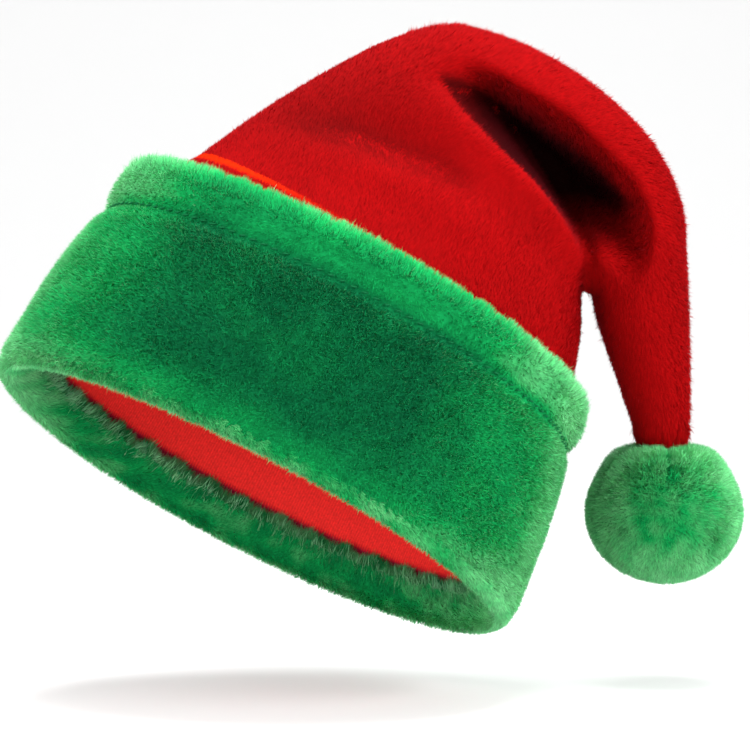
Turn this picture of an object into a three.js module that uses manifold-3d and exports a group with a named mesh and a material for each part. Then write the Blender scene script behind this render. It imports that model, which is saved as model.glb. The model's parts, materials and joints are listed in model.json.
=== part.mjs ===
// Santa hat: a red plush crown bent over to one side, its tail hanging down to a green fur
// ball, a padded green fur cuff whose fur turns under the rim, and a red knit lining.
// Millimetres, +Z up. The hat is shown as a head wears it, tilted to the right and tipped
// back. The origin is the middle of the opening, where the head goes in.
import * as THREE from "three";
import { mergeVertices } from "three/addons/utils/BufferGeometryUtils.js";
import Module from "manifold-3d";

// Driving sizes
const tiltRight = 27.5;       // degrees the hat leans to the right
const tipBack = 19.5;         // degrees its front is raised
const gap = 0.3;             // clearance between pieces that touch

const cuffWidth = 249;       // fur cuff across its foot, outside, left to right
const cuffDepth = 172;       // the same, front to back
const cuffTaper = 11;        // how far each side of the cuff leans in towards its top
const cuffHeight = 106;      // rim to the crest of the rolled hem
const bandThickness = 8.5;   // fur band of the cuff
const rimThickness = 14;     // the band where it turns under the rim
const turnUp = 16;           // height of the fur turned up inside the rim
const fringeLock = 4.5;      // length of the free locks along the turned-up edge
const hemHeight = 23;        // rolled hem above the stitched groove
const grooveDepth = 3.4;     // depth of the stitched groove
const furLump = 0.6;         // how far the locks of the cuff stand out and in
const rimSag = 4;            // how much lower the rim hangs at the back of the head
const hemLift = 4;           // how much higher the hem stands at the left

const crownRise = 130;       // top of the bend above the crest of the cuff
const plushWall = 3;         // red plush of crown and tail
const crownTuck = 28;        // how far the crown goes down behind the cuff
const crownSet = 8;          // the crown leaves the cuff this far under its crest
const tailEndCap = 3;        // rounded end of the tail
const liningWall = 1.2;      // red knit
const liningClearance = 1.2; // lining to the inside of the crown
const liningShort = 13;      // lining stops this far under the crest of the cuff
const liningStep = 4;        // height over which the lining steps in past the crown's edge

const pompomWidth = 72;      // fur ball across
const pompomHeight = 67;     // the same, along the tail
const lockLength = 5;        // locks of the ball, root to tip
const lockShow = 3.2;        // how far a lock stands out of the core
const lockWidth = 19;        // a lock across its root
const lockCount = 58;
const neckSink = 5;          // how far the tail end goes into the ball
const neckRoom = 2;          // clearance round the tail end in the ball

// Counts of facets
const cuffFacets = 80;
const nearFacets = 22;       // crown section, the side that faces the viewer
const farFacets = 14;        // crown section, the side that faces away

// What follows from the sizes above
const degree = Math.PI / 180;
const collarInset = bandThickness + gap;
const collarWidth = cuffWidth - 2 * cuffTaper - 2 * collarInset;
const collarDepth = cuffDepth - 2 * cuffTaper - 2 * collarInset;
const lean = new THREE.Matrix4().makeRotationY(tiltRight * degree);
const worn = lean.clone().multiply(new THREE.Matrix4().makeRotationX(-tipBack * degree));
const crestAhead = cuffHeight * Math.sin(tipBack * degree);
const crestUp = cuffHeight * Math.cos(tipBack * degree);

// Sections of the crown and tail, from just above the cuff to the end of the tail. Each is a
// ring from an outer point to an inner point in the plane of the bend, measured from the
// middle of the cuff's crest. outX and inX are shares of collarWidth, outZ and inZ of
// crownRise, and near, far, back and dent of collarDepth. near and far are the half depths
// towards and away from the viewer, back is how far the middle lies behind the crest's. dent
// pushes the near side in, between the shares dentFrom and dentTo of the way from outer to
// inner point. tip is the share of tipBack that the ring still has. over is how far its near
// side hangs over the next ring, as a share of collarWidth. steps is the rings up to the next
// row.
const crownRows = [
  { outX: -0.425, outZ: 0.150, inX: 0.484, inZ: 0.085, near: 0.450, far: 0.450, back: 0.030,
    dent: 0, dentFrom: 0.2, dentTo: 0.8, tip: 0.9, over: 0, steps: 2 },
  { outX: -0.368, outZ: 0.345, inX: 0.463, inZ: 0.200, near: 0.425, far: 0.425, back: 0.070,
    dent: 0, dentFrom: 0.2, dentTo: 0.8, tip: 0.72, over: 0, steps: 2 },
  { outX: -0.298, outZ: 0.545, inX: 0.439, inZ: 0.285, near: 0.395, far: 0.395, back: 0.100,
    dent: 0, dentFrom: 0.2, dentTo: 0.8, tip: 0.48, over: 0.012, steps: 4 },
  { outX: -0.193, outZ: 0.794, inX: 0.422, inZ: 0.337, near: 0.351, far: 0.357, back: 0.110,
    dent: 0, dentFrom: 0.12, dentTo: 0.82, tip: 0.15, over: 0.052, steps: 3 },
  { outX: -0.098, outZ: 0.935, inX: 0.423, inZ: 0.348, near: 0.318, far: 0.325, back: 0.110,
    dent: 0.38, dentFrom: 0.14, dentTo: 0.8, tip: 0.03, over: 0.045, steps: 2 },
  { outX: -0.036, outZ: 0.972, inX: 0.428, inZ: 0.354, near: 0.297, far: 0.315, back: 0.105,
    dent: 0.47, dentFrom: 0.18, dentTo: 0.78, tip: 0, over: 0.035, steps: 2 },
  { outX: 0.072, outZ: 1.000, inX: 0.434, inZ: 0.357, near: 0.280, far: 0.305, back: 0.100,
    dent: 0.46, dentFrom: 0.22, dentTo: 0.76, tip: 0, over: 0.022, steps: 2 },
  { outX: 0.228, outZ: 0.990, inX: 0.440, inZ: 0.357, near: 0.262, far: 0.285, back: 0.095,
    dent: 0.38, dentFrom: 0.26, dentTo: 0.7, tip: 0, over: 0.010, steps: 3 },
  { outX: 0.402, outZ: 0.910, inX: 0.447, inZ: 0.350, near: 0.240, far: 0.255, back: 0.090,
    dent: 0.22, dentFrom: 0.27, dentTo: 0.66, tip: 0, over: 0, steps: 2 },
  { outX: 0.515, outZ: 0.777, inX: 0.455, inZ: 0.331, near: 0.218, far: 0.228, back: 0.085,
    dent: 0.06, dentFrom: 0.32, dentTo: 0.64, tip: 0, over: 0, steps: 2 },
  { outX: 0.562, outZ: 0.662, inX: 0.467, inZ: 0.305, near: 0.198, far: 0.205, back: 0.080,
    dent: 0, dentFrom: 0.4, dentTo: 0.62, tip: 0, over: 0, steps: 2 },
  { outX: 0.627, outZ: 0.487, inX: 0.485, inZ: 0.272, near: 0.172, far: 0.178, back: 0.075,
    dent: 0, dentFrom: 0.5, dentTo: 0.6, tip: 0, over: 0, steps: 1 },
  { outX: 0.669, outZ: 0.366, inX: 0.526, inZ: 0.205, near: 0.146, far: 0.150, back: 0.072,
    dent: 0, dentFrom: 0.5, dentTo: 0.6, tip: 0, over: 0, steps: 1 },
  { outX: 0.708, outZ: 0.251, inX: 0.577, inZ: 0.130, near: 0.120, far: 0.122, back: 0.070,
    dent: 0, dentFrom: 0.5, dentTo: 0.6, tip: 0, over: 0, steps: 1 },
  { outX: 0.736, outZ: 0.167, inX: 0.623, inZ: 0.058, near: 0.098, far: 0.098, back: 0.070,
    dent: 0, dentFrom: 0.5, dentTo: 0.6, tip: 0, over: 0, steps: 1 },
  { outX: 0.763, outZ: 0.079, inX: 0.664, inZ: -0.008, near: 0.082, far: 0.082, back: 0.070,
    dent: 0, dentFrom: 0.5, dentTo: 0.6, tip: 0, over: 0, steps: 1 },
];

// Soft folds pressed into the crown. row and across say where each is centred: a place in
// the table above, and a share of the way from outer to inner point. rows and wide are its
// half lengths in the same measures. deep is a share of collarDepth, less than 0 for a ridge.
const crownFolds = [
  { side: "near", row: 1.3, across: 0.12, rows: 0.45, wide: 0.12, deep: 0.018 },
  { side: "near", row: 1.8, across: 0.30, rows: 0.50, wide: 0.15, deep: 0.026 },
  { side: "near", row: 2.4, across: 0.48, rows: 0.60, wide: 0.14, deep: 0.018 },
  { side: "near", row: 1.0, across: 0.62, rows: 0.80, wide: 0.10, deep: -0.012 },
  { side: "near", row: 2.6, across: 0.80, rows: 0.80, wide: 0.08, deep: 0.016 },
  { side: "far", row: 3.2, across: 0.55, rows: 0.90, wide: 0.12, deep: 0.050 },
  { side: "far", row: 5.5, across: 0.45, rows: 1.20, wide: 0.14, deep: 0.045 },
  { side: "far", row: 1.4, across: 0.40, rows: 0.80, wide: 0.16, deep: 0.022 },
];

// Shares of the way across a section over which its dent sets in and lets go.
const dentOnset = 0.22;
const dentRelease = 0.32;

function smoothstep(from, to, value) {
  const share = Math.min(1, Math.max(0, (value - from) / (to - from)));
  return share * share * (3 - 2 * share);
}

function mixRows(first, second, share) {
  const row = {};
  for (const name of Object.keys(first)) {
    row[name] = first[name] + (second[name] - first[name]) * share;
  }
  return row;
}

// A smooth curve through one column of the table, so that the outline has no corners.
function through(rows, name, index, share) {
  const last = rows.length - 1;
  const before = rows[Math.max(0, index - 1)][name];
  const start = rows[index][name];
  const end = rows[Math.min(last, index + 1)][name];
  const after = rows[Math.min(last, index + 2)][name];
  const square = share * share;
  const cube = square * share;
  return 0.5 * (2 * start + (end - before) * share
    + (2 * before - 5 * start + 4 * end - after) * square
    + (3 * start - before - 3 * end + after) * cube);
}

// Angles round a crown section: 0 at the outer point, 180 degrees at the inner point.
function sectionAngles() {
  const angles = [];
  for (let i = 0; i < nearFacets; i += 1) {
    angles.push(Math.PI * i / nearFacets);
  }
  for (let i = 0; i < farFacets; i += 1) {
    angles.push(Math.PI * (1 + i / farFacets));
  }
  return angles;
}

// Half width and half depth of the cuff's outside at a height above the rim.
function cuffHalf(height) {
  const inward = cuffTaper * height / cuffHeight;
  return { width: cuffWidth / 2 - inward, depth: cuffDepth / 2 - inward };
}

// A ring of the crown where it is tucked behind the cuff and follows its inside.
function tuckedRing(height) {
  const half = cuffHalf(height);
  const width = half.width - collarInset;
  const depth = half.depth - collarInset;
  return sectionAngles().map((angle) => new THREE.Vector3(
    -width * Math.cos(angle),
    -depth * Math.sin(angle),
    height,
  ).applyMatrix4(worn));
}

function foldDepth(side, place, across) {
  let total = 0;
  for (const fold of crownFolds) {
    if (fold.side !== side) continue;
    const along = (place - fold.row) / fold.rows;
    const aside = (across - fold.across) / fold.wide;
    total += fold.deep * Math.exp(-along * along - aside * aside);
  }
  return total * collarDepth;
}

// A ring of the free crown or tail, from a row of the table. place is the row's number.
function freeRing(row, place) {
  const outer = new THREE.Vector2(row.outX * collarWidth, row.outZ * crownRise);
  const inner = new THREE.Vector2(row.inX * collarWidth, row.inZ * crownRise);
  const middle = outer.clone().add(inner).multiplyScalar(0.5);
  const half = inner.clone().sub(outer).multiplyScalar(0.5);
  const ahead = new THREE.Vector2(-half.y, half.x).normalize();
  const tip = row.tip * tipBack * degree;
  return sectionAngles().map((angle) => {
    const side = Math.sin(angle) >= 0 ? "near" : "far";
    const across = (1 - Math.cos(angle)) / 2;
    const pressed = smoothstep(row.dentFrom, row.dentFrom + dentOnset, across)
      * (1 - smoothstep(row.dentTo - dentRelease / 2, row.dentTo + dentRelease / 2, across));
    const reach = side === "near" ? row.near - row.dent * pressed : row.far;
    const rim = Math.min(1, Math.abs(Math.sin(angle)) * 2);
    let depth = reach * collarDepth * Math.sin(angle);
    depth -= Math.sign(Math.sin(angle)) * foldDepth(side, place, across) * rim;
    const lower = 2 * (across * Math.sin(angle)) ** 2;
    const hang = side === "near" ? row.over * collarWidth * lower : 0;
    const x = middle.x - half.x * Math.cos(angle) + ahead.x * hang;
    const z = middle.y - half.y * Math.cos(angle) + ahead.y * hang;
    return new THREE.Vector3(
      x,
      crestAhead + row.back * collarDepth - depth * Math.cos(tip),
      crestUp + z + depth * Math.sin(tip),
    ).applyMatrix4(lean);
  });
}

function crownRings() {
  const rings = [
    tuckedRing(cuffHeight - crownTuck),
    tuckedRing(cuffHeight - crownTuck / 2),
    tuckedRing(cuffHeight - crownSet),
  ];
  crownRows.forEach((row, index) => {
    const next = crownRows[Math.min(index + 1, crownRows.length - 1)];
    const steps = index === crownRows.length - 1 ? 1 : row.steps;
    for (let step = 0; step < steps; step += 1) {
      const share = step / steps;
      const between = mixRows(row, next, share);
      for (const name of ["outX", "outZ", "inX", "inZ"]) {
        between[name] = through(crownRows, name, index, share);
      }
      rings.push(freeRing(between, index + share));
    }
  });
  return rings;
}

// Triangles between two rings that have as many points each.
function wallBetween(first, second, faces) {
  const count = first.length;
  for (let i = 0; i < count; i += 1) {
    const j = (i + 1) % count;
    faces.push([first[i], first[j], second[j]], [first[i], second[j], second[i]]);
  }
}

function fanTo(ring, point, faces) {
  ring.forEach((corner, i) => faces.push([corner, ring[(i + 1) % ring.length], point]));
}

function centreOf(ring) {
  const sum = new THREE.Vector3();
  ring.forEach((point) => sum.add(point));
  return sum.divideScalar(ring.length);
}

function geometryFrom(faces) {
  const positions = [];
  faces.forEach((face) => face.forEach((point) => positions.push(point.x, point.y, point.z)));
  const geometry = new THREE.BufferGeometry();
  geometry.setAttribute("position", new THREE.Float32BufferAttribute(positions, 3));
  const merged = mergeVertices(geometry, 1e-3);
  merged.computeVertexNormals();
  return merged;
}

// The point of the inner face behind each point of the rings. It lies a wall's thickness
// from the faces that meet there, and a little more where they meet at a sharp angle.
function insideOf(rings) {
  const count = rings[0].length;
  const facing = rings.slice(0, -1).map((ring, r) => ring.map((point, i) => {
    const j = (i + 1) % count;
    const across = rings[r + 1][j].clone().sub(point);
    return across.cross(rings[r + 1][i].clone().sub(ring[j])).normalize();
  }));
  return rings.slice(0, -1).map((ring, r) => ring.map((point, i) => {
    const before = (i + count - 1) % count;
    const below = Math.max(0, r - 1);
    const around = [facing[r][i], facing[r][before], facing[below][i], facing[below][before]];
    const mean = around.reduce((sum, normal) => sum.add(normal), new THREE.Vector3());
    const stretch = Math.min(1.15, 4 / mean.length());
    return point.clone().addScaledVector(mean.normalize(), -plushWall * stretch);
  }));
}

function crownGeometry() {
  const rings = crownRings();
  const inner = insideOf(rings);
  const faces = [];
  for (let r = 0; r + 1 < rings.length; r += 1) {
    wallBetween(rings[r], rings[r + 1], faces);
  }
  for (let r = 0; r + 1 < inner.length; r += 1) {
    wallBetween(inner[r + 1], inner[r], faces);
  }
  wallBetween(inner[0], rings[0], faces);
  const last = rings[rings.length - 1];
  const middle = centreOf(last);
  const quarter = Math.round(nearFacets / 2);
  const along = last[0].clone().sub(middle).cross(last[quarter].clone().sub(middle)).normalize();
  const rounded = last.map((point) => (
    point.clone().lerp(middle, 0.25).addScaledVector(along, tailEndCap * 0.8)
  ));
  wallBetween(last, rounded, faces);
  fanTo(rounded, middle.clone().addScaledVector(along, tailEndCap), faces);
  const lastInner = inner[inner.length - 1];
  faces.push(...lastInner.map((corner, i) => (
    [lastInner[(i + 1) % lastInner.length], corner, centreOf(lastInner)]
  )));
  return { geometry: geometryFrom(faces), end: middle, along };
}

// The cuff is no true cylinder: its rim sags at the back and its hem is pushed up at the
// left, where the crown leans away from it.
function settled(height, angle) {
  const behind = Math.max(0, Math.sin(angle));
  const low = 1 - smoothstep(0, cuffHeight * 0.7, height);
  const fromLeft = (angle - Math.PI * 1.06) / 0.7;
  const high = smoothstep(cuffHeight - hemHeight - 20, cuffHeight, height);
  return height - rimSag * behind * low + hemLift * high * Math.exp(-fromLeft * fromLeft);
}

// A closed outline swept round the hat. outlineAt gives its points, each with how far it is
// out from the cuff's outside line and its height, for one facet of the ring.
function sweptRound(outlineAt, facets) {
  const rings = [];
  for (let i = 0; i < facets; i += 1) {
    const angle = 2 * Math.PI * i / facets;
    rings.push(outlineAt(i, angle).map(([out, height]) => {
      const half = cuffHalf(height);
      return new THREE.Vector3(
        (half.width + out) * Math.cos(angle),
        (half.depth + out) * Math.sin(angle),
        settled(height, angle),
      );
    }));
  }
  const faces = [];
  rings.forEach((ring, i) => wallBetween(rings[(i + 1) % facets], ring, faces));
  return geometryFrom(faces);
}

// Outline of the cuff: up the outside, over the rolled hem, down the inside, and round the
// fur that is turned up under the rim. Every other facet is the tip of a lock of fur.
function cuffOutline(index, angle) {
  const groove = cuffHeight - hemHeight;
  const back = -bandThickness;
  const turned = -rimThickness;
  const lock = index % 2 === 0 ? 1 : -1;
  const lump = (row) => furLump * lock * (row % 2 === 0 ? 1 : -1)
    + 0.8 * furLump * Math.sin(5 * angle + row);
  return [
    [turned * 0.50, 0],
    [turned * 0.20, rimThickness * 0.18 + lump(1) * 0.3],
    [lump(2) * 0.5, rimThickness * 0.75],
    [lump(3), rimThickness * 1.7],
    [1.2 + lump(4), groove * 0.52],
    [0.8 + lump(5), groove * 0.78],
    [-0.4 + lump(6) * 0.6, groove - 6],
    [-grooveDepth, groove],
    [lump(7) * 0.6, groove + hemHeight * 0.22],
    [1.4 + lump(8), groove + hemHeight * 0.55],
    [-0.2 + lump(9) * 0.6, cuffHeight - 3.6],
    [back * 0.50, cuffHeight + lump(10)],
    [back * 0.88, cuffHeight - 2.6],
    [back, cuffHeight - 8],
    [back, turnUp + 12],
    [back, turnUp],
    [back + (turned - back) * 0.55, turnUp - 0.5],
    [back + (turned - back) * 0.80, turnUp + (lock > 0 ? fringeLock : 0)],
    [turned, turnUp * 0.74],
    [turned * 0.96, rimThickness * 0.5 + lump(11) * 0.3],
    [turned * 0.78, rimThickness * 0.14],
  ];
}

// Outline of the lining: a band of knit that stands on the turned-up fur, lies against the
// cuff and goes up inside the crown.
function liningOutline() {
  const low = -bandThickness - gap;
  const high = low - plushWall - liningClearance;
  const crownEdge = cuffHeight - crownTuck;
  const top = cuffHeight - liningShort;
  return [
    [low, turnUp + gap],
    [low, crownEdge - 1.5 * liningStep],
    [high, crownEdge - 0.5 * liningStep],
    [high, top],
    [high - liningWall, top],
    [high - liningWall, crownEdge - 0.5 * liningStep - liningWall / 2],
    [low - liningWall, crownEdge - 1.5 * liningStep - liningWall / 2],
    [low - liningWall, turnUp + gap],
  ];
}

// Pompom
const wasm = await Module();
wasm.setup();

function solidFrom(geometry) {
  const bare = new THREE.BufferGeometry();
  bare.setAttribute("position", geometry.getAttribute("position"));
  bare.setIndex(geometry.index);
  const merged = mergeVertices(bare, 1e-4);
  return new wasm.Manifold(new wasm.Mesh({
    numProp: 3,
    vertProperties: new Float32Array(merged.getAttribute("position").array),
    triVerts: new Uint32Array(merged.index.array),
  }));
}

function geometryFromSolid(solid) {
  const mesh = solid.getMesh();
  const geometry = new THREE.BufferGeometry();
  geometry.setAttribute("position", new THREE.BufferAttribute(mesh.vertProperties, 3));
  geometry.setIndex(new THREE.BufferAttribute(mesh.triVerts, 1));
  geometry.computeVertexNormals();
  return geometry;
}

// Directions spread evenly over a ball, along a spiral from its top to its foot.
function spreadDirection(index, count) {
  const height = 1 - (2 * index + 1) / count;
  const turn = index * Math.PI * (3 - Math.sqrt(5));
  const radius = Math.sqrt(1 - height * height);
  return new THREE.Vector3(radius * Math.cos(turn), radius * Math.sin(turn), height);
}

// A ball of fur whose locks are joined to a core, with a seat in its top for the tail end.
function pompomGeometry(neckWidth) {
  const coreWidth = pompomWidth - 2 * lockShow;
  const coreHeight = pompomHeight - 2 * lockShow;
  const core = new THREE.IcosahedronGeometry(0.5, 4);
  core.scale(coreWidth, coreWidth, coreHeight);
  let ball = solidFrom(core);
  for (let i = 0; i < lockCount; i += 1) {
    const direction = spreadDirection(i, lockCount);
    const lock = new THREE.ConeGeometry(lockWidth / 2, lockLength, 5);
    const swirl = new THREE.Vector3(-direction.y, direction.x, 0).multiplyScalar(0.25);
    const aim = direction.clone().add(swirl).setZ(direction.z - 0.15).normalize();
    const size = new THREE.Vector3(coreWidth, coreWidth, coreHeight);
    const surface = direction.clone().multiply(size).multiplyScalar(0.5);
    const seat = surface.addScaledVector(aim, lockShow - lockLength / 2);
    const turn = new THREE.Quaternion().setFromUnitVectors(new THREE.Vector3(0, 1, 0), aim);
    lock.applyMatrix4(new THREE.Matrix4().compose(seat, turn, new THREE.Vector3(1, 1, 1)));
    ball = ball.add(solidFrom(lock));
  }
  const socketDepth = neckSink + gap;
  const seatRadius = neckWidth / 2 + neckRoom;
  const socket = new THREE.CylinderGeometry(seatRadius, seatRadius, pompomHeight, 20);
  socket.rotateX(Math.PI / 2);
  socket.translate(0, 0, pompomHeight - socketDepth);
  return geometryFromSolid(ball.subtract(solidFrom(socket)));
}

// Assembly
const plush = new THREE.MeshStandardMaterial({ color: 0xc8121c, roughness: 0.95, metalness: 0 });
const knit = new THREE.MeshStandardMaterial({ color: 0xd7262a, roughness: 0.85, metalness: 0 });
const greenFur = new THREE.MeshStandardMaterial({ color: 0x12994a, roughness: 1, metalness: 0 });
const ballFur = new THREE.MeshStandardMaterial({ color: 0x3caa58, roughness: 1, metalness: 0 });

function piece(name, geometry, material) {
  const mesh = new THREE.Mesh(geometry, material);
  mesh.name = name;
  return mesh;
}

const group = new THREE.Group();

const onHead = new THREE.Group();
onHead.applyMatrix4(worn);
onHead.add(piece("cuff", sweptRound(cuffOutline, cuffFacets), greenFur));
onHead.add(piece("lining", sweptRound(liningOutline, cuffFacets / 2), knit));
group.add(onHead);

const crown = crownGeometry();
group.add(piece("crown", crown.geometry, plush));

const lastRow = crownRows[crownRows.length - 1];
const neckWidth = Math.hypot(
  (lastRow.outX - lastRow.inX) * collarWidth,
  (lastRow.outZ - lastRow.inZ) * crownRise,
);
const pompom = piece("pompom", pompomGeometry(neckWidth), ballFur);
const hang = tailEndCap - neckSink + pompomHeight / 2;
pompom.position.copy(crown.end).addScaledVector(crown.along, hang);
pompom.quaternion.setFromUnitVectors(new THREE.Vector3(0, 0, -1), crown.along);
group.add(pompom);

export default group;
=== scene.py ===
# Santa hat: the soft skins, pile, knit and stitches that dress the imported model.
# Every length is in metres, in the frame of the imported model, unless a name says otherwise.
import json
import math

import bmesh
import bpy
import numpy as np
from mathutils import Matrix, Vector
from mathutils.kdtree import KDTree


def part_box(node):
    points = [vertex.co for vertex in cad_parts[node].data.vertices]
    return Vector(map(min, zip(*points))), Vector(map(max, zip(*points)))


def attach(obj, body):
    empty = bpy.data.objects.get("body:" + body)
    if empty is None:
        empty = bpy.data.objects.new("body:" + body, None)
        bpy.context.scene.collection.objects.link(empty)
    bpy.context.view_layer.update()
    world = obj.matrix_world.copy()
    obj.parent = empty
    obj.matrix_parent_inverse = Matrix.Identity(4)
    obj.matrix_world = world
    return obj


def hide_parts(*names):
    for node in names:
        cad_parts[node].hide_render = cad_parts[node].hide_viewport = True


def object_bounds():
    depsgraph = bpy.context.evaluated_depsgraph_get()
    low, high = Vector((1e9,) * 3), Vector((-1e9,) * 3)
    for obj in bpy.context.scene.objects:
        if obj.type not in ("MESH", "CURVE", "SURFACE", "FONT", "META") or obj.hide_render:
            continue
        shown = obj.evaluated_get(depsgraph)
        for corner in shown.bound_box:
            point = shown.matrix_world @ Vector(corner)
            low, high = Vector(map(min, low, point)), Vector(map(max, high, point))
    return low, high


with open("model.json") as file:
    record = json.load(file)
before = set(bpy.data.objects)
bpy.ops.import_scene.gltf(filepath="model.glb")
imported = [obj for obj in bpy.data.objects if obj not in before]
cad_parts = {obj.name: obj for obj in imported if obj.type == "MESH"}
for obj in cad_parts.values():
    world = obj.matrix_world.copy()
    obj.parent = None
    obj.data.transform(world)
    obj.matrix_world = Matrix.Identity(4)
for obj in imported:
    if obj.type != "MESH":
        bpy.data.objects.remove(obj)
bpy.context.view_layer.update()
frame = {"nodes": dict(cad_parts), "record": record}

MM = 0.001
NODES = frame["nodes"]
HEAD = next(m for m in frame["record"]["mounts"] if m["name"] == "head")

# The cuff, as it is modelled: out is measured from its outer line, height from its rim.
CUFF_HALF_WIDTH = 124.5 * MM
CUFF_HALF_DEPTH = 86 * MM
CUFF_TAPER = 11 * MM
CUFF_HEIGHT = 106 * MM
TURN_UP = 16 * MM
GROOVE_HEIGHT = 83 * MM
GROOVE_DEPTH = 3.4 * MM
RIM_SAG = 4 * MM
HEM_LIFT = 4 * MM
HEM_HEIGHT = 23 * MM

# The lining: a band of knit that steps in where the crown goes down behind the cuff.
LINING_WALL = 1.2 * MM
LINING_LOW = -9.1 * MM
LINING_HIGH = -13.2 * MM
LINING_STEP = (72 * MM, 76 * MM)
LINING_TOP = 93 * MM
LINING_RIBS = 560
RIB_DEPTH = 0.35 * MM
# Up to this height the knit is painted dark, a painted shadow at its foot.
LINING_FOOT = 21.5 * MM

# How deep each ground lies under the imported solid's surface, to leave room for its pile.
CROWN_DEPTH = 1.0 * MM
CUFF_DEPTH = 1.7 * MM
POMPOM_DEPTH = 3.4 * MM

# How many hairs each piece of pile starts from, before places are left out.
HAIRS = {
    "crown_pile": 180000, "tail_pile": 150000, "crown_strip_pile": 60000,
    "tail_end_pile": 11000, "cuff_pile": 195000, "cuff_down": 54000, "hem_pile": 45000,
    "rim_pile": 105000, "fringe_pile": 40000, "pompom_pile": 120000,
}
HAIR_TRANSLUCENCY = 0.35

# The ball: the way its seam faces, how deep seam and top are drawn in, how full its shoulder is.
SEAM_FACING = (-0.34, 0.94, 0.0)
SEAM_DEPTH = 2.2 * MM
TOP_DIMPLE = 3 * MM
SHOULDER_FULLNESS = 2.4 * MM

# The thread in the groove of the hem.
STITCHES = 134
STITCH_SHARE = 0.30
STITCH_RADIUS = 0.5 * MM
STITCH_SLANT = 0.5 * MM
THREAD_SINK = 0.1 * MM

# Where the tail folds over: the point that the pile of crown and tail turns round.
BEND_X = 0.148
BEND_Z = 0.094

# The tail, and not the crown, is what lies further right than this.
TAIL_X = 0.15

# The recess under the bend, seen from the front, as X and Z in millimetres: the crease along
# the crown, from its foot up, and the lower border of the arch over it, from the left. The
# valley is the shallow fold that runs down across the crown towards the recess.
# Between the crease and the arch the plush is painted in shade, and along the valley it is painted
# a little darker as well as sunk.
CREASE = ((141, 103), (134, 118), (121, 135), (107, 148), (94, 162), (86, 171), (78, 184))
ARCH = ((78, 184), (90, 182), (103, 178), (126, 165), (139, 157), (152, 146), (164, 133))
VALLEY_DEPTH = 1.6 * MM
VALLEY = ((-4, 168), (9, 163), (22, 159), (39, 155), (54, 150), (69, 144), (84, 139), (96, 133))

# The strip of the crown's foot over the cuff's left end, where the nap is pressed flat and
# a highlight is painted on it: its height on the cuff's scale at two angles, half its width
# at those, and the angles between which its painted highlight fades in.
STRIP_LOW = (109.6 * MM, math.radians(-99))
STRIP_HIGH = (116.6 * MM, math.radians(-155))
STRIP_HALF = (0.7 * MM, 1.7 * MM)
STRIP_PAINTED_HIGHLIGHT = (-1.75, -2.35)

# The view: the photo's angle, with the frame 750 pixels across.
FRAME_PX = 750
FOCAL_PX = 2820
VIEW_DISTANCE = 1.2
VIEW_ELEVATION = math.radians(3)
VIEW_TARGET = Vector((0.0539, 0.0, 0.0540))
SENSOR_MM = 36
FLOOR_DROP = 0.022

# Each light's name, place, size and watts.
LIGHTS = (
    ("left", (-1.1, -0.9, 0.6), 0.9, 19),
    ("right", (1.2, -0.7, 0.5), 0.9, 24),
    ("front", (0.1, -1.9, 0.2), 0.8, 11),
    ("top", (0.1, 0.1, 1.6), 0.9, 40),
)
WORLD_LIGHT = 0.75
PAPER_GREY = 0.70
PAPER_GLOW = 0.09


def unit(vectors):
    lengths = np.linalg.norm(vectors, axis=-1, keepdims=True)
    return vectors / np.maximum(lengths, 1e-12)


def hat_directions():
    """The hat's own directions: to its right, to its back, and up along its axis."""
    up = unit(-np.array(HEAD["axis"], float))
    across = unit(np.array([up[2], 0, -up[0]]))
    return np.stack([across, np.cross(up, across), up])


HAT = hat_directions()
HAT_UP = HAT[2]
DOWN = np.array([0.0, 0.0, -1.0])


def smoothstep(low, high, value):
    share = np.clip((value - low) / (high - low), 0, 1)
    return share * share * (3 - 2 * share)


def soft_noise(points, size, seed):
    """Smooth noise from -1 to 1 at points, whose bumps are about size across."""
    rng = np.random.default_rng(seed)
    total = np.zeros(len(points))
    for _ in range(9):
        direction = unit(rng.normal(size=3)) * rng.uniform(0.6, 1.7)
        total += np.sin(points @ direction * (math.pi / size) + rng.uniform(0, 2 * math.pi))
    return np.clip(total / 3.6, -1, 1)


# Places on the cuff

def cuff_settle(height, angle):
    """How far the cuff at a height and angle is sunk at the back or lifted at the left."""
    behind = np.maximum(0, np.sin(angle))
    sag = RIM_SAG * behind * (1 - smoothstep(0, CUFF_HEIGHT * 0.7, height))
    from_left = (np.mod(angle, 2 * math.pi) - 1.06 * math.pi) / 0.7
    high = smoothstep(CUFF_HEIGHT - HEM_HEIGHT - 0.02, CUFF_HEIGHT, height)
    return HEM_LIFT * high * np.exp(-from_left ** 2) - sag


def cuff_half(height):
    inward = CUFF_TAPER * height / CUFF_HEIGHT
    return CUFF_HALF_WIDTH - inward, CUFF_HALF_DEPTH - inward


def cuff_point(out, height, angle):
    """The place on the cuff that is out from its outer line, at a height and angle."""
    width, depth = cuff_half(height)
    local = np.stack([
        (width + out) * np.cos(angle),
        (depth + out) * np.sin(angle),
        height + cuff_settle(height, angle),
    ], -1)
    return local @ HAT


def cuff_place(points):
    """The reverse: out, height and angle of points near the cuff."""
    x, y, z = (points @ HAT.T).T
    out = np.zeros(len(points))
    height = z.copy()
    for _ in range(6):
        width, depth = cuff_half(height)
        angle = np.arctan2(y / (depth + out), x / (width + out))
        cos, sin = np.cos(angle), np.sin(angle)
        out = x * cos + y * sin - width * cos ** 2 - depth * sin ** 2
        height = z - cuff_settle(height, angle)
    return out, height, angle


# Meshes

def link(name, mesh, material):
    piece = bpy.data.objects.new(name, mesh)
    bpy.context.scene.collection.objects.link(piece)
    mesh.materials.append(material)
    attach(piece, "root")
    return piece


def mesh_from(name, points, faces):
    mesh = bpy.data.meshes.new(name)
    mesh.from_pydata([tuple(p) for p in points], [], faces)
    mesh.polygons.foreach_set("use_smooth", np.ones(len(mesh.polygons), bool))
    mesh.update()
    return mesh


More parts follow.
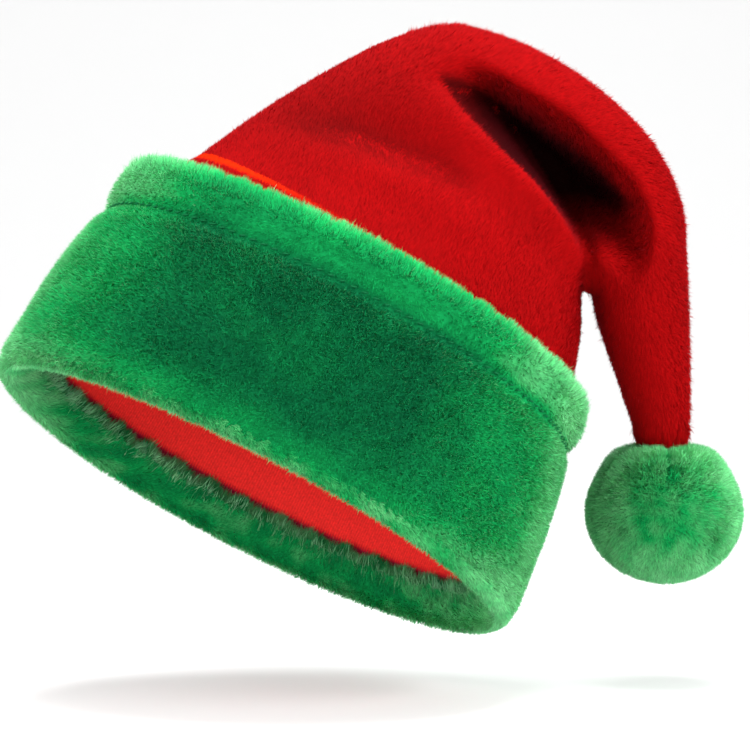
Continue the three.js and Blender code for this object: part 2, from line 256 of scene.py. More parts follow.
def softened(node, depth):
    """A node's mesh with its facets smoothed, moved inwards by depth for pile to fill."""
    mesh = NODES[node].data.copy()
    work = bmesh.new()
    work.from_mesh(mesh)
    bmesh.ops.remove_doubles(work, verts=work.verts, dist=0.02 * MM)
    bmesh.ops.join_triangles(
        work, faces=work.faces, angle_face_threshold=math.radians(40),
        angle_shape_threshold=math.radians(40),
    )
    bmesh.ops.subdivide_edges(work, edges=work.edges, cuts=1, use_grid_fill=True)
    bmesh.ops.smooth_vert(
        work, verts=work.verts, factor=0.5, use_axis_x=True, use_axis_y=True, use_axis_z=True,
    )
    bmesh.ops.triangulate(work, faces=work.faces)
    work.to_mesh(mesh)
    work.free()
    mesh.materials.clear()
    mesh.polygons.foreach_set("use_smooth", np.ones(len(mesh.polygons), bool))
    mesh.update()
    points, normals, _ = arrays_of(mesh)
    mesh.vertices.foreach_set("co", (points - normals * depth).ravel())
    mesh.update()
    return mesh


def arrays_of(mesh):
    """Points, vertex normals and triangles of a triangulated mesh."""
    points = np.empty(len(mesh.vertices) * 3)
    mesh.vertices.foreach_get("co", points)
    normals = np.empty(len(mesh.vertices) * 3)
    mesh.vertex_normals.foreach_get("vector", normals)
    corners = np.empty(len(mesh.loops), int)
    mesh.loops.foreach_get("vertex_index", corners)
    return points.reshape(-1, 3), normals.reshape(-1, 3), corners.reshape(-1, 3)


def scatter(mesh, weight, count, rng):
    """count places on a mesh, spread by area times the weight of each triangle."""
    points, normals, triangles = arrays_of(mesh)
    corners = points[triangles]
    middle = corners.mean(1)
    facing = np.cross(corners[:, 1] - corners[:, 0], corners[:, 2] - corners[:, 0])
    share = np.linalg.norm(facing, axis=1) * weight(middle, unit(facing))
    chosen = rng.choice(len(triangles), count, p=share / share.sum())
    first, second = rng.random(count), rng.random(count)
    over = first + second > 1
    first[over], second[over] = 1 - first[over], 1 - second[over]
    weights = np.stack([1 - first - second, first, second], 1)[..., None]
    place = (corners[chosen] * weights).sum(1)
    normal = unit((normals[triangles[chosen]] * weights).sum(1))
    return place, normal


def gathered(tips, roots, style, rng):
    """Draws the tips of neighbouring hairs together into locks."""
    count = max(8, len(roots) // style["hairs_a_lock"])
    leaders = rng.choice(len(roots), count, replace=False)
    tree = KDTree(count)
    for number, leader in enumerate(leaders):
        tree.insert(roots[leader], number)
    tree.balance()
    nearest = np.array([tree.find(root)[1] for root in roots])
    lead = leaders[nearest]
    pull = style["gather"] * rng.uniform(0.3, 1.0, count)[nearest]
    point = tips[lead] + (roots - roots[lead]) * 0.2
    return tips + (point - tips) * pull[:, None], nearest


def pile(name, material, roots, normals, nap, style, seed):
    """A piece of pile: one thin tapering blade for each hair, all in one mesh.

    style says how long and wide the hairs are, how far they lean from upright towards the
    nap, how much they spread, and how strongly they gather. Its scale and tone may hold a
    number for each hair: its share of the length, and its place between two colours."""
    rng = np.random.default_rng(seed)
    count = len(roots)
    nap = unit(nap - normals * (nap * normals).sum(1, keepdims=True))
    stray = rng.random(count) < style.get("stray", 0.03)
    lean = style["lean"] * rng.uniform(0.75, 1.2, count) * np.where(stray, 0.6, 1)
    heading = normals * np.cos(lean)[:, None] + nap * np.sin(lean)[:, None]
    spread = style["spread"] * np.where(stray, 2, 1)
    heading = unit(heading + rng.normal(size=(count, 3)) * spread[:, None])
    length = style["length"] * rng.uniform(0.75, 1.15, count) * style.get("scale", 1)
    length = length * np.where(stray, 1.35, 1)
    tips, lock = gathered(roots + heading * length[:, None], roots, style, rng)
    heading = unit(tips - roots)
    side = unit(np.cross(heading, normals) + 1e-9)
    roll = rng.normal(size=(count, 1)) * 0.45
    side = unit(side * np.cos(roll) + np.cross(heading, side) * np.sin(roll))
    facing = np.cross(side, heading)
    wrong = (facing * normals).sum(1) < 0
    side[wrong] *= -1
    facing[wrong] *= -1
    half = side * (style["width"] / 2 * rng.uniform(0.75, 1.25, count))[:, None]
    points = np.stack([roots - half, roots + half, tips], 1).reshape(-1, 3)
    mesh = bpy.data.meshes.new(name)
    mesh.vertices.add(3 * count)
    mesh.vertices.foreach_set("co", points.ravel())
    mesh.loops.add(3 * count)
    mesh.loops.foreach_set("vertex_index", np.arange(3 * count))
    mesh.polygons.add(count)
    mesh.polygons.foreach_set("loop_start", np.arange(0, 3 * count, 3))
    mesh.polygons.foreach_set("use_smooth", np.ones(count, bool))
    mesh.update()
    shade = unit(normals + facing * style["own_facing"])
    mesh.normals_split_custom_set_from_vertices(np.repeat(shade, 3, axis=0))
    # Red is the place along the hair, green its own shade, blue its lock's, alpha its tone, which
    # holds painted shade and painted light by place and, on some pieces, a random mottle.
    colour = np.empty((count, 3, 4), np.float32)
    colour[:, :, 0] = [0, 0, 1]
    colour[:, :, 1] = rng.random(count)[:, None]
    colour[:, :, 2] = rng.random(lock.max() + 1)[lock][:, None]
    colour[:, :, 3] = np.broadcast_to(style.get("tone", 0), count)[:, None]
    layer = mesh.color_attributes.new("hair", "FLOAT_COLOR", "POINT")
    layer.data.foreach_set("color", colour.ravel())
    blade_map(mesh, count)
    return link(name, mesh, material)


def tint(mesh, tone):
    """Gives the ground that pile stands in tones like the pile's, for the same material, with the
    same painted shade and light.
    """
    colour = np.full((len(mesh.vertices), 4), 0.5, np.float32)
    colour[:, 3] = tone
    layer = mesh.color_attributes.new("hair", "FLOAT_COLOR", "POINT")
    layer.data.foreach_set("color", colour.ravel())


def blade_map(mesh, count):
    """Gives each blade its own small triangle of the map that a bake would use."""
    side = math.ceil(math.sqrt(count))
    cells = np.stack([np.arange(count) % side, np.arange(count) // side], 1)[:, None]
    corner = np.array([[0.1, 0.1], [0.9, 0.1], [0.5, 0.9]])
    layer = mesh.uv_layers.new(name="OFBake")
    layer.data.foreach_set("uv", ((cells + corner) / side).ravel())


# Materials

def new_material(name):
    material = bpy.data.materials.new(name)
    material.use_nodes = True
    tree = material.node_tree
    shader = next(n for n in tree.nodes if n.type == "BSDF_PRINCIPLED")
    return material, tree, shader


def ramp(tree, value, stops):
    node = tree.nodes.new("ShaderNodeValToRGB")
    while len(node.color_ramp.elements) < len(stops):
        node.color_ramp.elements.new(0.5)
    for element, (place, colour) in zip(node.color_ramp.elements, stops):
        element.position = place
        element.color = (*colour, 1)
    tree.links.new(value, node.inputs["Fac"])
    return node.outputs["Color"]


def mixed(tree, blend, factor, first, second):
    node = tree.nodes.new("ShaderNodeMix")
    node.data_type = "RGBA"
    node.blend_type = blend
    for name, value in (("Factor_Float", factor), ("A_Color", first), ("B_Color", second)):
        socket = next(s for s in node.inputs if s.identifier == name)
        if isinstance(value, bpy.types.NodeSocket):
            tree.links.new(value, socket)
        else:
            socket.default_value = value
    return next(s for s in node.outputs if s.identifier == "Result_Color")


def noise(tree, scale, detail=3, roughness=0.55):
    place = tree.nodes.new("ShaderNodeTexCoord")
    node = tree.nodes.new("ShaderNodeTexNoise")
    node.inputs["Scale"].default_value = scale
    node.inputs["Detail"].default_value = detail
    node.inputs["Roughness"].default_value = roughness
    tree.links.new(place.outputs["Object"], node.inputs["Vector"])
    return node.outputs["Fac"]


def grey(value):
    return (value, value, value)


def hair_material(name, tones, root_shade, variety, sheen):
    """Pile painted darker at its roots, a painted shade deep in the pile, in tones that vary by
    place, hair, lock and patch; by place the tones hold painted shade and painted light.

    It lets some light through, so that its edges glow as fur does against the light."""
    material, tree, shader = new_material(name)
    attribute = tree.nodes.new("ShaderNodeAttribute")
    attribute.attribute_name = "hair"
    parts = tree.nodes.new("ShaderNodeSeparateColor")
    tree.links.new(attribute.outputs["Color"], parts.inputs["Color"])
    colour = ramp(tree, attribute.outputs["Alpha"], tones)
    along = ramp(tree, parts.outputs["Red"], [(0, grey(root_shade)), (0.8, grey(1))])
    colour = mixed(tree, "MULTIPLY", 1.0, colour, along)
    for source, change in (
        (parts.outputs["Green"], variety["hair"]),
        (parts.outputs["Blue"], variety["lock"]),
        (noise(tree, variety["patch_scale"]), variety["patch"]),
    ):
        stops = [(0.25, grey(1 - change)), (0.75, grey(1))]
        colour = mixed(tree, "MULTIPLY", 1.0, colour, ramp(tree, source, stops))
    tree.links.new(colour, shader.inputs["Base Color"])
    shader.inputs["Roughness"].default_value = 0.85
    shader.inputs["Specular IOR Level"].default_value = 0.05
    shader.inputs["Sheen Weight"].default_value = sheen["weight"]
    shader.inputs["Sheen Roughness"].default_value = sheen["roughness"]
    shader.inputs["Sheen Tint"].default_value = (*sheen["tint"], 1)
    through = tree.nodes.new("ShaderNodeBsdfTranslucent")
    tree.links.new(colour, through.inputs["Color"])
    both = tree.nodes.new("ShaderNodeMixShader")
    both.inputs["Fac"].default_value = HAIR_TRANSLUCENCY
    tree.links.new(shader.outputs["BSDF"], both.inputs[1])
    tree.links.new(through.outputs["BSDF"], both.inputs[2])
    output = next(n for n in tree.nodes if n.type == "OUTPUT_MATERIAL")
    tree.links.new(both.outputs["Shader"], output.inputs["Surface"])
    return material


def thread_material():
    """Twisted thread: fine uneven strands in two shades of green."""
    material, tree, shader = new_material("green thread")
    fine = noise(tree, 2500, 4)
    shades = [(0.3, (0.001, 0.07, 0.022)), (0.7, (0.003, 0.13, 0.04))]
    tree.links.new(ramp(tree, fine, shades), shader.inputs["Base Color"])
    shader.inputs["Roughness"].default_value = 0.9
    shader.inputs["Specular IOR Level"].default_value = 0.1
    relief = tree.nodes.new("ShaderNodeBump")
    relief.inputs["Strength"].default_value = 0.3
    relief.inputs["Distance"].default_value = 0.4 * MM
    tree.links.new(fine, relief.inputs["Height"])
    tree.links.new(relief.outputs["Normal"], shader.inputs["Normal"])
    return material


def knit_material():
    """Rib knit: bright on the ribs, painted darker between them as painted shade, painted dark at
    its foot as a painted shadow, with fine uneven loops.
    """
    material, tree, shader = new_material("red knit")
    attribute = tree.nodes.new("ShaderNodeAttribute")
    attribute.attribute_name = "rib_and_painted_shade"
    # Stop 0 is the painted shadow at the foot; stop 0.5 the painted shade between ribs; stop 1 the
    # ribs' red.
    ribs = ramp(tree, attribute.outputs["Fac"], [
        (0, (0.16, 0.0, 0.016)), (0.5, (0.66, 0.013, 0.012)), (1, (0.78, 0.024, 0.018)),
    ])
    loops = noise(tree, 900, 2)
    shade = ramp(tree, loops, [(0.3, grey(0.82)), (0.7, grey(1.12))])
    tree.links.new(mixed(tree, "MULTIPLY", 1.0, ribs, shade), shader.inputs["Base Color"])
    shader.inputs["Roughness"].default_value = 0.8
    shader.inputs["Specular IOR Level"].default_value = 0.15
    relief = tree.nodes.new("ShaderNodeBump")
    relief.inputs["Strength"].default_value = 0.5
    relief.inputs["Distance"].default_value = 0.3 * MM
    tree.links.new(loops, relief.inputs["Height"])
    tree.links.new(relief.outputs["Normal"], shader.inputs["Normal"])
    return material


# Tone 0 is the plush's red; towards tone 1, near black, it is painted shade.
RED_PILE = hair_material(
    "red plush pile", [(0, (0.47, 0.002, 0.003)), (1, (0.010, 0.0, 0.0))], 0.8,
    {"hair": 0.16, "lock": 0.05, "patch": 0.12, "patch_scale": 26},
    {"weight": 0.35, "roughness": 0.35, "tint": (1.0, 0.06, 0.09)},
)
# Tone 0 is a red like the plush's; towards tone 1 it is a bright orange-red, a painted highlight.
PAINTED_HIGHLIGHT_PILE = hair_material(
    "flattened plush pile with painted highlight", [(0, (0.55, 0.004, 0.002)), (1, (0.98, 0.034, 0.001))], 0.85,
    {"hair": 0.16, "lock": 0.05, "patch": 0.10, "patch_scale": 26},
    {"weight": 0.0, "roughness": 0.4, "tint": (1.0, 0.1, 0.05)},
)
# Tone 0 is a dark green, painted shade; 0.5 the mid green; towards tone 1 a pale green, painted
# sheen.
GREEN_PILE = hair_material(
    "green fur pile",
    [(0, (0.004, 0.250, 0.085)), (0.5, (0.010, 0.600, 0.150)), (1, (0.26, 0.93, 0.38))], 0.62,
    {"hair": 0.44, "lock": 0.10, "patch": 0.10, "patch_scale": 34},
    {"weight": 0.60, "roughness": 0.32, "tint": (0.45, 1.0, 0.55)},
)
THREAD = thread_material()
KNIT = knit_material()


def make_camera():
    data = bpy.data.cameras.new("view")
    data.sensor_width = SENSOR_MM
    data.lens = FOCAL_PX / FRAME_PX * SENSOR_MM
    data.clip_end = 20
    camera = bpy.data.objects.new("view", data)
    bpy.context.scene.collection.objects.link(camera)
    back = Vector((0, -math.cos(VIEW_ELEVATION), math.sin(VIEW_ELEVATION)))
    camera.location = VIEW_TARGET + back * VIEW_DISTANCE
    camera.rotation_euler = (math.pi / 2 - VIEW_ELEVATION, 0, 0)
    bpy.context.scene.camera = camera


# Crown and tail

def outer_wall(mesh):
    """Says which triangles are on the outside of the crown's thin wall."""
    points, _, triangles = arrays_of(mesh)
    corners = points[triangles]
    free = corners.mean(1) @ HAT_UP > (points @ HAT_UP).min() + 2 * MM
    parent = np.arange(len(points))

    def top(i):
        while parent[i] != i:
            parent[i] = parent[parent[i]]
            i = parent[i]
        return i

    for a, b, c in triangles[free]:
        parent[top(b)] = top(a)
        parent[top(c)] = top(a)
    group = np.array([top(i) for i in triangles[:, 0]])
    facing = np.cross(corners[:, 1] - corners[:, 0], corners[:, 2] - corners[:, 0])
    area = np.linalg.norm(facing, axis=1)
    best = max(np.unique(group[free]), key=lambda name: area[(group == name) & free].sum())
    return (group == best) & free


def crown_nap(points):
    """The way the pile lies: up the crown, round the bend and down the tail."""
    right = points[:, 0] - BEND_X
    above = points[:, 2] - BEND_Z
    turn = unit(np.stack([above, np.zeros(len(points)), -right], 1))
    body = unit(turn + 0.7 * HAT_UP)
    on_body = (smoothstep(0, -0.02, right) * smoothstep(0.09, 0.05, above))[:, None]
    on_tail = (smoothstep(0.02, -0.01, above) * (right > -0.004))[:, None]
    nap = turn * (1 - on_body) + body * on_body
    nap = unit(nap * (1 - on_tail) + DOWN * on_tail)
    sway = soft_noise(points, 0.03, 5)[:, None] * np.cross(nap, [0, 1, 0])
    return nap + 0.35 * sway


def tail_side(points):
    """From 0 on the crown to 1 on the arch and tail, across the crease."""
    right = points[:, 0] - BEND_X
    above = points[:, 2] - BEND_Z
    return smoothstep(-0.012, 0.004, right * 0.83 + above * 0.56)


def along_curve(curve, x):
    """The Z of a curve of the tables above, at X."""
    xs, zs = np.array(curve).T * MM
    return np.interp(x, xs, zs)


def valley(points):
    """How near a point of the crown's front is to the middle of the shallow fold, 0 to 1."""
    x, y, z = points.T
    ends = smoothstep(-0.005, 0.05, x) * smoothstep(0.104, 0.080, x) * smoothstep(0.06, 0.03, y)
    above = z - along_curve(VALLEY, x)
    return ends * np.exp(-(above / np.where(above > 0, 9 * MM, 4.5 * MM)) ** 2)


def crown_painted_shade(points, normals):
    """Painted shade on the plush from 0 to 1: deepest in the recess, a little deeper in the valley
    and in a broad patch on the crown's front, only where the plush faces the front.
    """
    x, z = points[:, 0], points[:, 2]
    crease = np.interp(z, *(np.array(CREASE).T * MM)[::-1])
    past_crease = smoothstep(-0.5 * MM, 2 * MM, x - crease)
    below_arch = smoothstep(-2 * MM, 5 * MM, along_curve(ARCH, x) - z)
    short_of_tail = smoothstep(0.172, 0.160, x) * smoothstep(0.104, 0.134, z)
    deep = 0.80 + 0.20 * smoothstep(0.085, 0.115, x)
    front = smoothstep(0.5, 0.1, normals[:, 1])
    recess = deep * past_crease * below_arch * short_of_tail
    # A broad patch of painted shade on the crown's front.
    shade = np.exp(-((x - 0.045) / 0.036) ** 2 - ((z - 0.168) / 0.020) ** 2)
    return front * np.maximum(recess, 0.40 * valley(points) + 0.22 * shade)


def strip_share(points):
    """How much a place at the crown's foot belongs to the flattened strip over the cuff, which
    carries a painted highlight.
    """
    _, height, angle = cuff_place(points)
    (low, right), (high, left) = STRIP_LOW, STRIP_HIGH
    share = (angle - right) / (left - right)
    half = STRIP_HALF[0] + (STRIP_HALF[1] - STRIP_HALF[0]) * np.clip(share, 0, 1)
    off = abs(height - low - (high - low) * share)
    across = smoothstep(half + 0.4 * MM, half - 0.4 * MM, off)
    return across * smoothstep(left - 0.35, left - 0.05, angle) * (angle < right + 0.1)


def make_crown():
    mesh = softened("crown", CROWN_DEPTH)
    outer = outer_wall(mesh)
    points, normals, _ = arrays_of(mesh)
    # The ground carries the same painted shade as the crown's pile.
    tint(mesh, crown_painted_shade(points, normals))
    fold = valley(points) * smoothstep(0.3, -0.2, normals[:, 1])
    mesh.vertices.foreach_set("co", (points - normals * fold[:, None] * VALLEY_DEPTH).ravel())
    mesh.update()
    ground = link("crown_ground", mesh, RED_PILE)
    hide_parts("crown")
    rng = np.random.default_rng(11)

    def shown(middle):
        return outer & (cuff_place(middle)[1] > CUFF_HEIGHT - 10 * MM)

    def on_crown(middle, _):
        return shown(middle) * (1 - tail_side(middle))

    def on_tail(middle, _):
        return shown(middle) * tail_side(middle)

    roots, normals = scatter(mesh, on_crown, HAIRS["crown_pile"], rng)
    free = strip_share(roots) < 0.5
    roots, normals = roots[free], normals[free]
    # The crown's pile carries painted shade: darkest in the recess, a little darker in the valley
    # and a patch on the front.
    pile("crown_pile", RED_PILE, roots, normals, crown_nap(roots), {
        "length": 2.2 * MM, "width": 0.50 * MM, "lean": 1.05, "spread": 0.10, "stray": 0.03,
        "hairs_a_lock": 26, "gather": 0.12, "own_facing": 0.06, "tone": crown_painted_shade(roots, normals),
    }, 12)
    roots, normals = scatter(mesh, on_tail, HAIRS["tail_pile"], rng)
    # The tail's pile carries the same painted shade where it lies in the recess.
    pile("tail_pile", RED_PILE, roots, normals, crown_nap(roots), {
        "length": 3.2 * MM, "width": 0.50 * MM, "lean": 0.95, "spread": 0.14, "stray": 0.06,
        "hairs_a_lock": 26, "gather": 0.25, "own_facing": 0.08, "tone": crown_painted_shade(roots, normals),
    }, 13)

    def near_strip(middle, _):
        _, height, angle = cuff_place(middle)
        near = (height > CUFF_HEIGHT - 2 * MM) & (height < CUFF_HEIGHT + 20 * MM)
        return outer & near & (angle < STRIP_LOW[1] + 0.4)

    roots, normals = scatter(mesh, near_strip, HAIRS["crown_strip_pile"], rng)
    taken = strip_share(roots) > 0.5
    roots, normals = roots[taken], normals[taken]
    # This pile is painted a brighter orange-red, a painted highlight that fades in along the
    # strip.
    pile("crown_strip_pile", PAINTED_HIGHLIGHT_PILE, roots, normals, crown_nap(roots), {
        "length": 1.8 * MM, "width": 0.5 * MM, "lean": 1.25, "spread": 0.08, "stray": 0.0,
        "hairs_a_lock": 26, "gather": 0.1, "own_facing": 0.04,
        "tone": smoothstep(*STRIP_PAINTED_HIGHLIGHT, cuff_place(roots)[2]),
    }, 14)

    foot = points[points[:, 0] > TAIL_X][:, 2].min()

    def on_tail_end(middle, _):
        at_foot = (middle[:, 2] > foot + 1 * MM) & (middle[:, 2] < foot + 9 * MM)
        return outer & at_foot & (middle[:, 0] > TAIL_X)

    roots, normals = scatter(mesh, on_tail_end, HAIRS["tail_end_pile"], rng)
    pile("tail_end_pile", RED_PILE, roots, normals, DOWN + 0 * roots, {
        "length": 4.6 * MM, "width": 0.5 * MM, "lean": 1.32, "spread": 0.12, "stray": 0.02,
        "hairs_a_lock": 40, "gather": 0.4, "own_facing": 0.1,
    }, 15)


# Cuff

def cuff_painted_light_and_mottle(height, angle, points):
    """Painted shade and sheen from 0, the dark middle of the cuff, to 1 at its pale rolls, crest,
    rim and ends, with a random mottle.
    """
    aside = np.abs(np.cos(angle + 0.12))
    base = 0.03 + 0.42 * smoothstep(0.40, 0.92, aside)
    ends = 0.34 * smoothstep(0.88, 1.0, aside)
    hem = 0.38 + 0.36 * smoothstep(0.45, 0.90, aside)
    roll = hem * smoothstep(GROOVE_HEIGHT - 3 * MM, GROOVE_HEIGHT + 6 * MM, height)
    crest = 0.42 * smoothstep(CUFF_HEIGHT - 7 * MM, CUFF_HEIGHT, height)
    rim = 0.36 * smoothstep(24 * MM, 4 * MM, height)
    mottle = 0.07 * soft_noise(points, 0.018, 8) + 0.04 * soft_noise(points, 0.005, 18)
    return np.clip(np.maximum(base, roll) + ends + crest + rim + mottle, 0, 1)


def make_cuff():
    mesh = softened("cuff", CUFF_DEPTH)
    points, _, _ = arrays_of(mesh)
    _, height, angle = cuff_place(points)
    # The ground carries the cuff's painted shade and sheen.
    tint(mesh, cuff_painted_light_and_mottle(height, angle, points))
    ground = link("cuff_ground", mesh, GREEN_PILE)
    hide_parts("cuff")
    rng = np.random.default_rng(21)

    def towards_front(angle):
        return 1 - 0.35 * np.sin(angle)

    def on_band(middle, _):
        out, height, angle = cuff_place(middle)
        return (out > -7 * MM) * (height > 3 * MM) * (height < 104 * MM) * towards_front(angle)

    def on_crest(middle, _):
        out, height, angle = cuff_place(middle)
        return (height > 96 * MM) * (out > -11 * MM) * towards_front(angle)

    def on_rim(middle, facing):
        out, height, _ = cuff_place(middle)
        return ((height < 5 * MM) | (out < -7 * MM) & (height < 15 * MM)) * 1.0

    def on_ledge(middle, _):
        out, height, _ = cuff_place(middle)
        return (out < -8 * MM) * (height < 21 * MM) * smoothstep(7 * MM, 15 * MM, height)

    roots, normals = scatter(mesh, on_band, HAIRS["cuff_pile"], rng)
    _, height, angle = cuff_place(roots)
    around = unit(np.cross(HAT_UP, normals))
    nap = -HAT_UP + around * (0.9 * soft_noise(roots, 0.02, 7)[:, None])
    groove = np.exp(-((height - GROOVE_HEIGHT) / (1.5 * MM)) ** 2)
    sewn = smoothstep(-0.6, 0.3, np.cos(angle))
    # In the groove the tone goes to 0, painted shade, where the hem is sewn, and is 0.3 higher
    # where it is not.
    tone = cuff_painted_light_and_mottle(height, angle, roots) * (1 - groove * sewn) + 0.3 * groove * (1 - sewn)
    style = {
        "length": 2.7 * MM, "width": 0.46 * MM, "lean": 0.46, "spread": 0.26, "stray": 0.03,
        "hairs_a_lock": 16, "gather": 0.18, "own_facing": 0.14, "tone": np.clip(tone, 0, 1),
        "scale": 1 - 0.7 * groove,
    }
    pile("cuff_pile", GREEN_PILE, roots, normals, nap, style, 22)

    def on_front(middle, _):
        out, height, angle = cuff_place(middle)
        return (out > -6 * MM) * (height > 5 * MM) * (height < 79 * MM) * (np.sin(angle) < 0.1)

    roots, normals = scatter(mesh, on_front, HAIRS["cuff_down"], rng)
    _, height, angle = cuff_place(roots)
    # This pile carries the cuff's painted shade and sheen, 0.12 paler.
    tone = np.clip(cuff_painted_light_and_mottle(height, angle, roots) + 0.12, 0, 1)
    style = {**style, "length": 3.0 * MM, "width": 0.34 * MM, "tone": tone, "scale": 1}
    pile("cuff_down", GREEN_PILE, roots, normals, -HAT_UP + 0 * roots, style, 26)
    roots, normals = scatter(mesh, on_crest, HAIRS["hem_pile"], rng)
    out, height, angle = cuff_place(roots)
    # The hem's pile carries the cuff's painted sheen, palest at its crest.
    pile("hem_pile", GREEN_PILE, roots, normals, HAT_UP + 0.35 * normals, {
        "length": 4.8 * MM, "width": 0.46 * MM, "lean": 0.70, "spread": 0.20, "stray": 0.05,
        "hairs_a_lock": 40, "gather": 0.5, "own_facing": 0.15,
        "tone": cuff_painted_light_and_mottle(height, angle, roots), "scale": smoothstep(94 * MM, 102 * MM, height),
    }, 23)
    roots, normals = scatter(mesh, on_rim, HAIRS["rim_pile"], rng)
    out, height, angle = cuff_place(roots)
    inner = smoothstep(-6 * MM, -11 * MM, out)
    nap = HAT_UP * inner[:, None] + 0.5 * unit(np.cross(HAT_UP, normals))
    # The rim's pile is painted paler at the cuff's ends, painted sheen, and darker on its inner
    # side, painted shade, with a random mottle.
    ends = 0.30 * smoothstep(0.70, 0.97, np.abs(np.cos(angle)))
    tone = np.clip(0.66 - 0.18 * inner + ends + 0.20 * soft_noise(roots, 0.008, 9), 0, 1)
    pile("rim_pile", GREEN_PILE, roots, normals, nap, {
        "length": 3.2 * MM, "width": 0.48 * MM, "lean": 0.62, "spread": 0.20, "stray": 0.02,
        "hairs_a_lock": 24, "gather": 0.20, "own_facing": 0.15, "tone": tone,
    }, 24)
    roots, normals = scatter(mesh, on_ledge, HAIRS["fringe_pile"], rng)
    out, _, angle = cuff_place(roots)
    inward = -unit(np.stack([np.cos(angle), np.sin(angle), 0 * angle], 1) @ HAT)
    tone = np.clip(0.75 + 0.35 * soft_noise(roots, 0.006, 10), 0, 1)
    pile("fringe_pile", GREEN_PILE, roots, unit(HAT_UP + 0.8 * inward), HAT_UP, {
        "length": 6.6 * MM, "width": 0.46 * MM, "lean": 0.34, "spread": 0.36, "stray": 0.10,
        "hairs_a_lock": 34, "gather": 0.5, "own_facing": 0.2, "tone": tone,
    }, 25)
    make_stitches()


def make_stitches():
    """Thread that shows in the groove of the hem, one short stitch after another."""
    sides, rings = 6, 5
    points, faces = [], []
    for number in range(STITCHES):
        centre = 2 * math.pi * number / STITCHES
        half = 2 * math.pi / STITCHES * STITCH_SHARE
        for ring in range(rings):
            share = ring / (rings - 1) * 2 - 1
            angle = np.array([centre + half * share])
            height = GROOVE_HEIGHT + STITCH_SLANT * share
            middle = cuff_point(-GROOVE_DEPTH - THREAD_SINK, np.array([height]), angle)[0]
            along = unit(np.array([-math.sin(angle[0]), math.cos(angle[0]), 0]) @ HAT)
            outward = np.cross(along, HAT_UP)
            radius = STITCH_RADIUS * math.sqrt(max(0.02, 1 - share * share))
            for side in range(sides):
                turn = 2 * math.pi * side / sides
                offset = outward * math.cos(turn) + HAT_UP * math.sin(turn)
                points.append(middle + offset * radius)
        base = number * rings * sides
        for ring in range(rings - 1):
            for side in range(sides):
                a = base + ring * sides + side
                b = base + ring * sides + (side + 1) % sides
                faces.append((a, b, b + sides, a + sides))
        last = base + (rings - 1) * sides
        faces.append(tuple(base + side for side in reversed(range(sides))))
        faces.append(tuple(last + side for side in range(sides)))
    link("hem_stitches", mesh_from("hem_stitches", points, faces), THREAD)


# Lining

def make_lining():
    columns = 2 * LINING_RIBS
    low_step, high_step = LINING_STEP
    bottom = TURN_UP - 3 * MM
    outer = [(LINING_HIGH, LINING_TOP), (LINING_HIGH, high_step), (LINING_LOW, low_step),
             (LINING_LOW, bottom)]
    foot = [bottom, LINING_FOOT, LINING_FOOT + 3 * MM]
    heights = foot + list(np.linspace(36 * MM, low_step, 6)) + [high_step, LINING_TOP]
    inner = [(LINING_LOW if h <= low_step else LINING_HIGH, h) for h in heights]
    angle = np.arange(columns) * (2 * math.pi / columns)
    ridge = np.where(np.arange(columns) % 2 == 0, 1.0, 0.0)
    rows, rib_and_painted_shade = [], []
    for out, height in outer:
        rows.append(cuff_point(out + 0 * angle, np.full(columns, height), angle))
        rib_and_painted_shade.append(0.5 + 0 * ridge)
    for out, height in inner:
        inward = LINING_WALL - RIB_DEPTH + RIB_DEPTH * ridge
        rows.append(cuff_point(out - inward, np.full(columns, height), angle))
        # Ridges are painted brighter than grooves, a painted shade between ribs, and rows up to
        # the foot are painted dark, a painted shadow where the lining meets the fur.
        rib_and_painted_shade.append((0.5 + 0.5 * ridge) * (height > LINING_FOOT))
    faces = []
    for r in range(len(rows)):
        first, second = r * columns, (r + 1) % len(rows) * columns
        for i in range(columns):
            j = (i + 1) % columns
            faces.append((first + i, first + j, second + j, second + i))
    mesh = mesh_from("lining_knit", np.concatenate(rows), faces)
    mesh.flip_normals()
    layer = mesh.attributes.new("rib_and_painted_shade", "FLOAT", "POINT")
    layer.data.foreach_set("value", np.concatenate(rib_and_painted_shade).astype(np.float32))
    piece = link("lining_knit", mesh, KNIT)
    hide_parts("lining")


# Pompom

def pompom_seams(directions):
    """How near directions from the ball's middle are to its seam and to the tuck at its top."""
    seam = np.exp(-(directions @ np.array(SEAM_FACING) / 0.032) ** 2)
    tuck = np.exp(-(directions[:, 0] / 0.035) ** 2) * smoothstep(0.45, 0.75, directions[:, 2])
    return np.maximum(seam, tuck * (directions[:, 1] < 0))


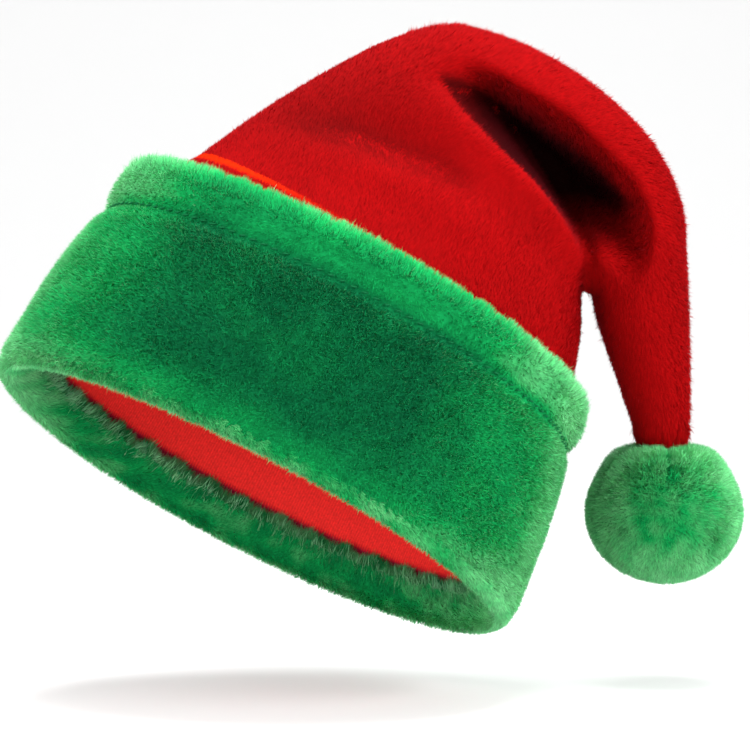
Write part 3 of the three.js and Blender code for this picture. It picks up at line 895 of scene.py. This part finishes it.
def make_pompom():
    low, high = (np.array(corner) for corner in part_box("pompom"))
    middle = (low + high) / 2
    reach = (high - low) / 2 - POMPOM_DEPTH
    work = bmesh.new()
    bmesh.ops.create_icosphere(work, subdivisions=5, radius=1)
    for vert in work.verts:
        direction = np.array(vert.co)
        polar = math.acos(max(-1, min(1, direction[2])))
        shoulder = SHOULDER_FULLNESS * math.exp(-((polar - 0.62) / 0.28) ** 2)
        dimple = TOP_DIMPLE * math.exp(-(polar / 0.3) ** 2)
        seam = float(pompom_seams(direction[None])[0])
        vert.co = Vector(middle + direction * (reach + shoulder - dimple - SEAM_DEPTH * seam))
    bmesh.ops.triangulate(work, faces=work.faces)
    mesh = bpy.data.meshes.new("pompom_core")
    work.to_mesh(mesh)
    work.free()
    mesh.polygons.foreach_set("use_smooth", np.ones(len(mesh.polygons), bool))
    tint(mesh, 0.45)
    core = link("pompom_core", mesh, GREEN_PILE)
    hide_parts("pompom")
    rng = np.random.default_rng(31)

    def everywhere(places, _):
        return np.ones(len(places))

    roots, normals = scatter(mesh, everywhere, HAIRS["pompom_pile"], rng)
    direction = unit(roots - middle)
    normals = unit(normals + 2 * direction)
    nap = DOWN + 0.6 * np.stack([soft_noise(roots, 0.012, s) for s in (41, 42, 43)], 1)
    seam = pompom_seams(direction)
    edge = smoothstep(0.55, 1.0, np.linalg.norm(direction[:, [0, 2]], axis=1))
    below = smoothstep(-0.1, -0.8, direction[:, 2])
    mottle = 0.10 * soft_noise(roots, 0.007, 44) + 0.08 * soft_noise(roots, 0.003, 45)
    left = smoothstep(-0.3, -0.8, direction[:, 0])
    # The ball is painted paler at its edges seen from the front, underneath and on its left,
    # painted light, and darker along its seam and tuck, painted shade, with a random mottle.
    tone = 0.58 + 0.40 * np.maximum(np.maximum(edge, below), left) + mottle - 0.4 * seam
    pile("pompom_pile", GREEN_PILE, roots, normals, nap, {
        "length": 4.2 * MM, "width": 0.48 * MM, "lean": 0.36, "spread": 0.30, "stray": 0.05,
        "hairs_a_lock": 24, "gather": 0.3, "own_facing": 0.16, "tone": np.clip(tone, 0, 1),
        "scale": 1 - 0.5 * seam,
    }, 32)


# Stage and light

def make_stage():
    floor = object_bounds()[0][2] - FLOOR_DROP
    steps = 24
    width, front, bend, radius, height = 6.0, -1.6, 1.6, 1.2, 3.5
    outline = [(front, floor), (bend, floor)]
    for step in range(1, steps + 1):
        angle = step / steps * math.pi / 2
        outline.append((bend + radius * math.sin(angle), floor + radius * (1 - math.cos(angle))))
    outline.append((bend + radius, floor + height))
    points = [(x, y, z) for x in (-width / 2, width / 2) for y, z in outline]
    count = len(outline)
    mesh = mesh_from("backdrop", points, [
        (i, i + 1, count + i + 1, count + i) for i in range(count - 1)
    ])
    material, _, shader = new_material("white paper")
    shader.inputs["Base Color"].default_value = (*grey(PAPER_GREY), 1)
    shader.inputs["Roughness"].default_value = 0.9
    shader.inputs["Emission Color"].default_value = (1, 1, 1, 1)
    shader.inputs["Emission Strength"].default_value = PAPER_GLOW
    mesh.materials.append(material)
    backdrop = bpy.data.objects.new("backdrop", mesh)
    bpy.context.scene.collection.objects.link(backdrop)


def area_light(name, place, size, watts):
    data = bpy.data.lights.new(name, "AREA")
    data.size = size
    data.energy = watts
    light = bpy.data.objects.new(name, data)
    bpy.context.scene.collection.objects.link(light)
    light.location = place
    light.rotation_euler = (VIEW_TARGET - Vector(place)).to_track_quat("-Z", "Y").to_euler()


def make_light():
    for name, place, size, watts in LIGHTS:
        area_light(name, place, size, watts)
    world = bpy.data.worlds.new("studio")
    world.use_nodes = True
    background = world.node_tree.nodes["Background"]
    background.inputs["Color"].default_value = (1, 1, 1, 1)
    background.inputs["Strength"].default_value = WORLD_LIGHT
    bpy.context.scene.world = world
    bpy.context.scene.view_settings.view_transform = "Standard"


make_camera()
make_crown()
make_cuff()
make_lining()
make_pompom()
make_stage()
make_light()
